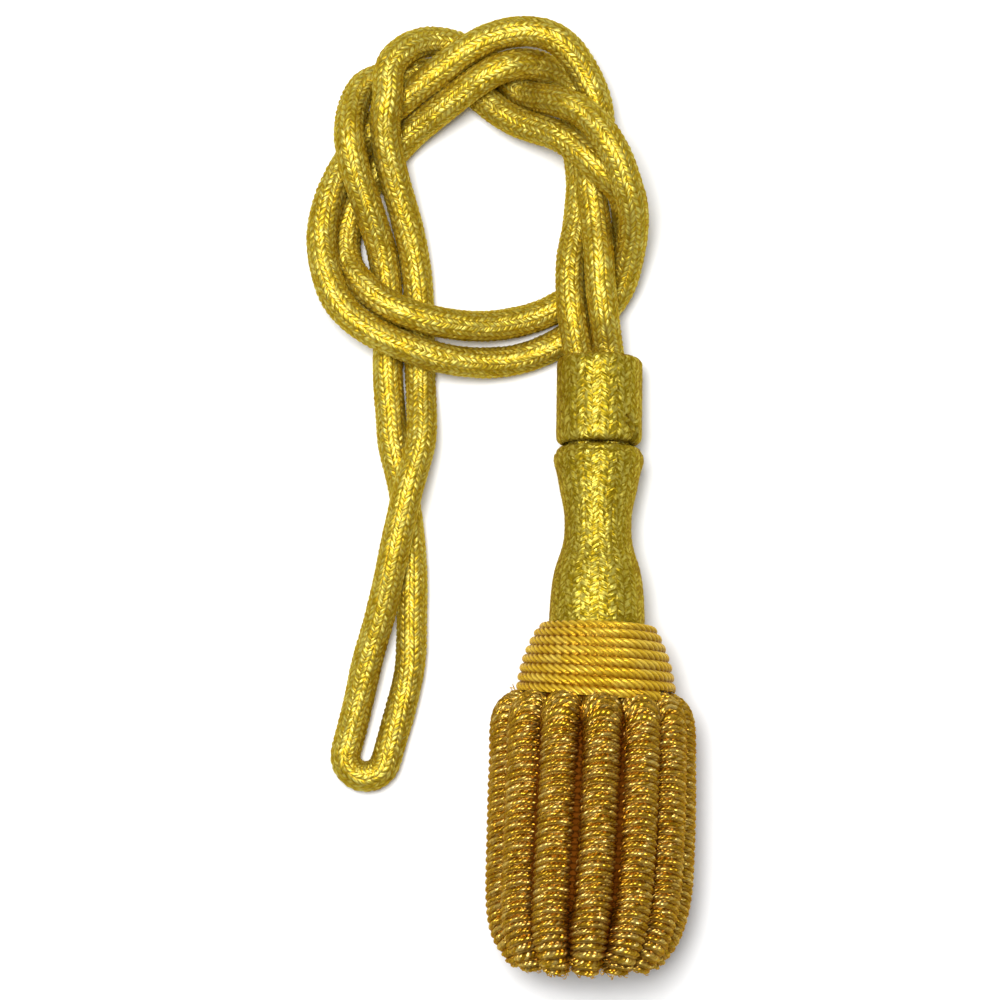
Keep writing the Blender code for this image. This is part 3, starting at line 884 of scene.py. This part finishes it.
def sleeve(name, node_name, outline, pitch, finish, seed, folds=None, shift=None):
    """A braided sleeve. outline is profile(at, angle), for the radius, station and outward way, and
    the length that at runs over. folds(angle, station) is 1 where a fold is deepest, and
    shift(radius) moves points across."""
    rows_a_pitch, sides_a_column = 8, 4
    profile, length = outline
    sides = SLEEVE_COLUMNS * sides_a_column
    count = int(round(length / pitch * rows_a_pitch)) + 1
    column = np.arange(sides) / sides_a_column
    row = np.arange(count)[:, None] / rows_a_pitch + np.zeros(sides)
    level = row * pitch
    fade = smooth(np.minimum(level, length - level) / SLEEVE_LEVEL)
    at = np.clip(level + zigzag(column, SLEEVE_CLIMB) * pitch * fade, 0, length)
    angle = np.broadcast_to(column * FULL_TURN / SLEEVE_COLUMNS, row.shape)
    relief = stitch_relief(np.broadcast_to(column, row.shape), row)
    radius, station, out_radius, out_station = profile(at, angle)
    fold = folds(angle, station) if folds else 0.0
    # The folds flatten the stitches and, through the relief, are painted with groove shade as well.
    relief = relief * (1 - fold)
    lift = (relief - RELIEF_MIDDLE) * SLEEVE_RELIEF
    lift = lift + SLEEVE_STRAY * strays(relief.shape, most=2, seed=seed)
    lift = lift * (SLEEVE_RIM_RELIEF + (1 - SLEEVE_RIM_RELIEF) * fade) - CREASE_DEPTH * fold
    radius, station = radius + out_radius * lift, station + out_station * lift
    rings = head_point(angle, radius, station, shift(radius) if shift else 0.0)
    # The relief also paints shade in the grooves between the stitches.
    parts = tube(rings, SLEEVE_COLUMNS, rows_a_pitch, relief.clip(0, 1))
    dress(mesh_object(name, *parts), node_name, finish)


def along_outline(radii, stations):
    """A sleeve's profile over a line in radius and station, and the line's length."""
    line = np.stack([radii, stations], axis=1)
    run = run_along(line)
    way = unit(np.gradient(line, run, axis=0))

    def profile(at, angle):
        radius, station = (np.interp(at, run, line[:, i]) for i in (0, 1))
        return radius, station, np.interp(at, run, way[:, 1]), -np.interp(at, run, way[:, 0])

    return profile, run[-1]


def rim_arc(rim, steps):
    """A quarter round from the face of a mouth to its wall: outward and inward steps."""
    turn = np.linspace(0, math.pi / 2, steps)
    return rim * np.sin(turn), rim * (1 - np.cos(turn))


def add_slide(finish):
    reach = 0.0035  # how far the braid runs into the bore
    rim, inset = 0.0016, 0.0003  # the bore's edge lies this far inside the mouth's face
    outward, inward = rim_arc(rim, steps=24)
    flat = SLIDE_RADIUS - rim
    # The outline is drawn for a round bore as wide as the oval one, and pulled in to the oval.
    bore = BORE_HALF_WIDTH
    radii = [[bore, bore], flat + outward, flat + outward[::-1], [bore, bore]]
    mouth = np.concatenate([[reach, inset], inward])
    stations = [mouth, SLIDE_LENGTH - mouth[::-1]]
    round_profile, length = along_outline(np.concatenate(radii), np.concatenate(stations))

    def profile(at, angle):
        radius, station, out_radius, out_station = round_profile(at, angle)
        inner = bore_reach(angle)
        stretched = inner + (radius - bore) * (flat - inner) / (flat - bore)
        return np.where(radius < flat, stretched, radius), station, out_radius, out_station

    outline = profile, length
    sleeve("braided_slide", "slide", outline, SLIDE_PITCH, finish, SLIDE_SEED, crease, bore_shift)


def add_neck(finish):
    stations, radii = np.array(NECK_PROFILE).T
    rim, inner = 0.0013, 0.002
    under_rope = 0.0015  # how far the braid runs on under the rope
    outward, inward = rim_arc(rim, steps=30)
    fine = np.linspace(stations[0] + rim, stations[-1] + under_rope, num=300)
    wall = natural_curve(stations, radii)(np.minimum(fine, stations[-1]))
    wall[fine < stations[1]] = radii[1]
    top = radii[1] - rim + outward
    outline = along_outline(
        np.concatenate([[inner], top, wall[1:]]),
        np.concatenate([[stations[0]], stations[0] + inward, fine[1:]]),
    )
    sleeve("braided_neck", "neck", outline, NECK_PITCH, finish, NECK_SEED)


# ---------------------------- the wound rope
def add_rope():
    sides, rows = 400, 10
    # The last turn's own width isn't counted.
    turns = BAND_TURNS - 1 + (ROPE_END - ROPE_START) / FULL_TURN
    stations, radii = np.array(BAND_PROFILE).T
    slant = run_along(np.array(BAND_PROFILE))
    pitch = slant[-1] / (turns + 1)
    slant = slant / slant[-1]
    station_at, radius_at = natural_curve(slant, stations), natural_curve(slant, radii)
    ply = pitch * ROPE_PLY
    spread = ply * math.sqrt(2)  # four plies touch their neighbours
    rope = ply + spread

    def place(turn, angle):
        part, step = turn / (turns + 1), 1e-3
        along = station_at(part + step) - station_at(part - step)
        out = radius_at(part + step) - radius_at(part - step)
        size = np.hypot(along, out)
        out_radius, out_station = along / size, -out / size
        radius = radius_at(part) - out_radius * rope
        station = station_at(part) - out_station * rope
        angle = angle + ROPE_START
        lean = math.tan(BAND_LEAN_SIDE) * np.sin(angle)
        lean = lean + math.tan(BAND_LEAN_OVER) * np.cos(angle)
        station = station + part * radius * lean
        points = head_point(angle, radius, station)
        return points, head_point(angle, radius + out_radius, station + out_station) - points

    plies = twisted_plies(ROPE_PLIES, ply, spread, pitch, -ROPE_LEAD, rope * ROPE_FLOOR)
    angles = np.arange(sides) * FULL_TURN / sides
    piece = winding("silk_rope", place, turns, angles, rows, plies, lambda turn, angle: 1.0)
    dress(piece, "rope_band", twist_finish("silk_rope", ROPE_LOOK))


# ---------------------------- the heading
# It widens down to the bullions' inner sides. Its last rows turn back and run up inside it, so that
# the skirt is hollow at its mouth.
HEADING = (  # y, x, height of its middle, radius
    (0.0080, 0.00065, 0.0148, 0.0020),
    (0.0075, 0.00065, 0.0150, 0.0080),
    (0.0040, 0.00065, 0.0154, 0.0105),
    (0.0000, 0.00060, 0.0159, 0.0122),
    (-0.0040, 0.00050, 0.0164, 0.0138),
    (-0.0075, 0.00030, 0.0169, 0.0150),
    (-0.0120, 0.00010, 0.0169, 0.0166),
    (-0.0200, 0.0, 0.0169, 0.0173),
    (-0.0380, 0.0, 0.0169, 0.0174),
    (-0.0445, -0.0003, 0.0169, 0.0169),
    (-0.0470, -0.0004, 0.0169, 0.0160),
    (-0.0470, -0.0004, 0.0169, 0.0153),
    (-0.0200, 0.0, 0.0169, 0.0155),
    (-0.0130, 0.0, 0.0169, 0.0120),
    (-0.0120, 0.0, 0.0169, 0.0010),
)
HEADING_SQUASH = 0.95
HEADING_PITCH = 0.0012
HEADING_RELIEF = 0.0002


def add_heading():
    """The bound core that the bullions hang on, seen only between them. Its colour is a near-black
    brown, painted shade for the gaps between the bullions.
    """
    sides, columns, rows_a_pitch = 48, 12, 3
    y, x, z, radius = np.array(HEADING).T
    run = run_along(np.stack([y, radius], axis=1))
    at = np.linspace(0, run[-1], int(run[-1] / HEADING_PITCH * rows_a_pitch) + 1)[:, None]
    angle = np.arange(sides) * FULL_TURN / sides
    turn = np.arange(len(at))[:, None] / rows_a_pitch + angle / FULL_TURN
    relief = np.abs(np.sin(math.pi * turn))
    wall = np.interp(at, run, radius) + HEADING_RELIEF * relief
    x, y, z = (np.interp(at, run, values) for values in (x, y, z))
    across, up = wall * np.sin(angle), HEADING_SQUASH * wall * np.cos(angle)
    rings = np.stack(np.broadcast_arrays(x + across, y, z + up), axis=-1)
    # Its relief also paints shade between its turns.
    heading = mesh_object("heading", *tube(rings, columns, rows_a_pitch, relief))
    dress(heading, "bullion_fringe", twist_finish("heading", HEADING_SHADE_LOOK))


# ---------------------------- the bullions
def bullion_line(angle):
    """One bullion's centre points, radii and way out, at this angle from the top of the skirt."""
    x, y, half_width, half_height, radius, lean = np.array(SKIRT_RINGS).T
    swell = COIL_RADIUS / radius.max()
    inset = radius * (swell - 1)
    turn = angle + SKIRT_TWIST * (y - SKIRT_TRUE_Y)
    across, up = (half_width - inset) * np.sin(turn), (half_height - inset) * np.cos(turn)
    body = np.stack([x + across, y, up], axis=1)
    radius = radius * swell
    resting = radius * math.cos(math.pi / BULLION_SIDES) - SKIRT_HEIGHT
    body[:, 2] = np.maximum(body[:, 2], resting)
    out = np.array([math.sin(turn[0]), 0, math.cos(turn[0])])
    bend, thin = np.array(SHOULDER_STEPS).T
    thin = thin + SHOULDER_FULLER * out[2] ** 2
    bend = np.radians(bend)[:, None]
    shoulder = body[0] + SHOULDER_BEND * ((np.sin(bend) - 1) * out + np.cos(bend) * (0, 1, 0))
    root = shoulder[0] - ROOT_REACH * out
    points = np.concatenate([[root], shoulder, body])
    lean = np.radians(np.concatenate([np.full(len(bend) + 1, SHOULDER_LEAN), lean]))
    points[:, 1] += points[:, 2] * np.sin(lean)
    points[:, 2] += SKIRT_HEIGHT
    return points, np.concatenate([[thin[0]], thin, radius / swell]) * swell, out


def with_dome(centres, radii):
    """The same centre line and radii with a domed end, and the way it points."""
    onward = unit((centres[-1] - centres[-4]) * (1, 1, DOME_RISE))
    dome = np.linspace(0, math.pi / 2 * DOME_WOUND, num=60)[1:]
    added = centres[-1] + np.sin(dome)[:, None] * onward * DOME_LENGTH
    narrowed = radii[-1] * np.cos(dome) ** DOME_BLUNTNESS
    return np.concatenate([centres, added]), np.concatenate([radii, narrowed]), onward


def coil_angles():
    """Places round a coil from its seam on, close together on the side that shows."""
    near = np.linspace(-COIL_SEAM, COIL_SEAM, num=57)
    far = np.linspace(COIL_SEAM, FULL_TURN - COIL_SEAM, num=8)[1:-1]
    return np.concatenate([near, far]) + COIL_SEAM


def add_bullion(number, finish):
    """One bullion, wound over its solid's line. It gives the places of its loose wires."""
    points, radii, outward = bullion_line(number * FULL_TURN / BULLIONS)
    run = run_along(points)
    fine = np.linspace(0, run[-1], num=400)
    centres = np.stack([natural_curve(run, points[:, i])(fine) for i in range(3)], axis=1)
    centres, radius, onward = with_dome(centres, monotone_curve(run, radii)(fine))
    run = run_along(centres)
    way = unit(np.gradient(centres, axis=0))
    level = unit(np.cross((0.0, 1.0, 0.0), outward))
    side = unit(np.cross(way, level))
    narrows = np.gradient(radius, run)
    local = np.random.default_rng(COIL_SEED + number)
    pitch = COIL_PITCH * local.uniform(*COIL_PITCH_RANGE)
    outer = run_along(centres + side * radius[:, None] * COIL_COUNTED_AT)
    turns = int(outer[-1] / pitch)
    slack = local.uniform(-COIL_SLACK, COIL_SLACK, turns + 3) * pitch
    from_top = math.asin(outward[0])

    def place(turn, angle):
        angle = angle - COIL_SEAM
        counted = turn / turns * outer[-1] + np.interp(turn, np.arange(turns + 3), slack)
        at = np.interp(counted, outer, run)
        free = smooth(np.minimum(at, run[-1] - at) / COIL_SQUARE_ENDS)
        seen = angle + from_top
        at = at + (COIL_SLOPE * np.sin(seen) - COIL_ARCH * np.cos(seen)) * COIL_RADIUS * free
        at = np.clip(at, 0, run[-1])
        centre, up = picked(at, run, centres), picked(at, run, side)
        wall = up * np.cos(angle)[..., None] + level * np.sin(angle)[..., None]
        out = unit(wall - np.interp(at, run, narrows)[..., None] * np.cross(level, up))
        skin = centre + wall * np.interp(at, run, radius)[..., None]
        return skin - out * COIL_SINK * pitch, out

    # Painted shade on the flanks, where the neighbours would shade the coil, and painted light round
    # its free tip.
    def painted_light(turn, angle):
        away = np.abs(angle - COIL_SEAM + COIL_SHADE_TURN * from_top)
        flank = smooth((COIL_SHADE_ANGLE - away) / COIL_SHADE_EDGE)
        tip = COIL_TIP_LIGHT * smooth((turn - turns + COIL_TIP_TURNS) / COIL_TIP_EDGE)
        return COIL_SHADE_LIGHT + (1 - COIL_SHADE_LIGHT) * np.maximum(flank, tip)

    name = f"bullion_{number + 1:02d}"
    plies = paired_cords(pitch)
    piece = winding(name, place, turns - 1, coil_angles(), COIL_ROWS, plies, painted_light)
    dress(piece, "bullion_fringe", finish)
    shoulder, straight = points[2], points[4]  # halfway round the shoulder, and below it
    crest = shoulder + unit(shoulder - straight + CREST_OUT * outward) * radii[2]
    return (
        (crest, unit(outward + CREST_WIRES_LEAN), *CREST_WIRES),
        (centres[-1], unit(onward), *TIP_WIRES),
    )


# ---------------------------- loose ends of wire
def wire(start, way, bend, radius, turn):
    """A short wire on an arc: it starts along way and curls towards bend."""
    count, sides = 10, 4
    way = unit(way)
    bend = unit(bend - way * (bend @ way))
    angle = np.linspace(0, turn, count)[:, None]
    line = start + radius * (np.sin(angle) * way + (1 - np.cos(angle)) * bend)
    inward = np.cos(angle) * bend - np.sin(angle) * way
    around = (np.arange(sides) * FULL_TURN / sides)[None, :, None]
    rings = inward[:, None] * np.cos(around) + np.cross(way, bend) * np.sin(around)
    thick = WIRE_RADIUS * np.linspace(1.0, WIRE_TAPER, count)[:, None, None]
    lit = np.ones((count, sides))
    return tube(line[:, None] + rings * thick, columns=1, rows_a_pitch=4, lit=lit)


def add_loose_wires(places, finish):
    """places gives points on the coils, the way out, and the wires' spread, curl and number."""
    local = np.random.default_rng(WIRE_SEED)
    parts, base = [], 0
    for point, out, spread, curl, number in places:
        for _ in range(number):
            scatter = local.uniform(-1, 1, 3)
            start = point + spread * scatter - WIRE_ROOT * out
            turn = curl * local.uniform(*WIRE_CURLS)
            length = local.uniform(*WIRE_LENGTHS)
            way, bend = out + WIRE_SPLAY * scatter[::-1], local.uniform(-1, 1, 3)
            points, quads, threads, lit, fans = wire(start, way, bend, length / turn, turn)
            parts.append((points, quads + base, threads.reshape(-1, 4, 2), lit, fans + base))
            base += len(points)
    piece = mesh_object("loose_wires", *(np.concatenate(column) for column in zip(*parts)))
    dress(piece, "bullion_fringe", finish)


add_camera()
add_world()
add_key_light()
add_floor()
bpy.context.scene.view_settings.view_transform = "Standard"
add_cord()
sleeve_finish = braid_finish("sleeve", SLEEVE_LOOK)
add_slide(sleeve_finish)
add_neck(sleeve_finish)
add_rope()
add_heading()
coil_finish = twist_finish("coiled_gimp", COIL_LOOK)
ends = [place for number in range(BULLIONS) for place in add_bullion(number, coil_finish)]
add_loose_wires(ends, twist_finish("wire", WIRE_LOOK))
